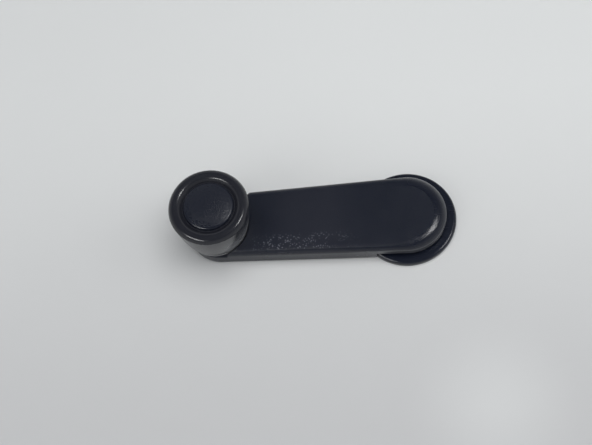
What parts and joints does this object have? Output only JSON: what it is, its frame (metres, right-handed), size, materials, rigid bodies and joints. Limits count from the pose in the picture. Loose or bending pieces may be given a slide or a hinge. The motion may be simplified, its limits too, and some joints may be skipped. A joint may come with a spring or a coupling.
{
  "type": "car window winder handle",
  "caption": "Crank handle for a hand-wound car window: hollow moulded arm with a splined socket, spring clip, escutcheon and a turning knob.",
  "frame": {"origin": "on the regulator spindle's axis, in the plane of the door trim", "axes": "+Z along the spindle away from the door, -X from the spindle to the knob"},
  "size_m": [0.1316, 0.0462, 0.0344],
  "materials": {
    "arm_plastic": "dark navy-black moulded plastic, semi-gloss, fine grain on the deck",
    "knob_plastic": "dark navy-black moulded plastic, semi-gloss, smooth",
    "cap_plastic": "dark navy-black moulded plastic with a fine leather-like grain",
    "escutcheon_plastic": "dark navy-black moulded plastic, semi-gloss",
    "bush_plastic": "natural acetal, satin",
    "washer_plastic": "natural nylon, satin",
    "sintered_steel": "sintered steel, grey, slightly oiled",
    "pin_steel": "turned steel, zinc plated",
    "spring_steel": "blued spring steel, oiled"
  },
  "bodies": {
    "escutcheon": {"escutcheon": "escutcheon_plastic"},
    "arm": {"arm": "arm_plastic", "spline_insert": "sintered_steel", "knob_pin": "pin_steel", "rivet_washer": "pin_steel", "thrust_washer": "washer_plastic", "push_nut": "spring_steel"},
    "knob": {"knob_shell": "knob_plastic", "knob_cap": "cap_plastic", "knob_bush": "bush_plastic", "wave_washer": "spring_steel"},
    "retaining_clip": {"retaining_clip": "spring_steel"}
  },
  "joints": [
    {"name": "handle_turn", "type": "hinge", "parent": "escutcheon", "child": "arm", "pos_m": [0, 0, 0], "axis": [0, 0, 1], "continuous": true},
    {"name": "knob_spin", "type": "hinge", "parent": "arm", "child": "knob", "pos_m": [-0.09, 0, 0], "axis": [0, 0, 1], "continuous": true},
    {"name": "clip_slide", "type": "slide", "parent": "arm", "child": "retaining_clip", "axis": [1, 0, 0], "range_m": [0, 0.02]}
  ]
}
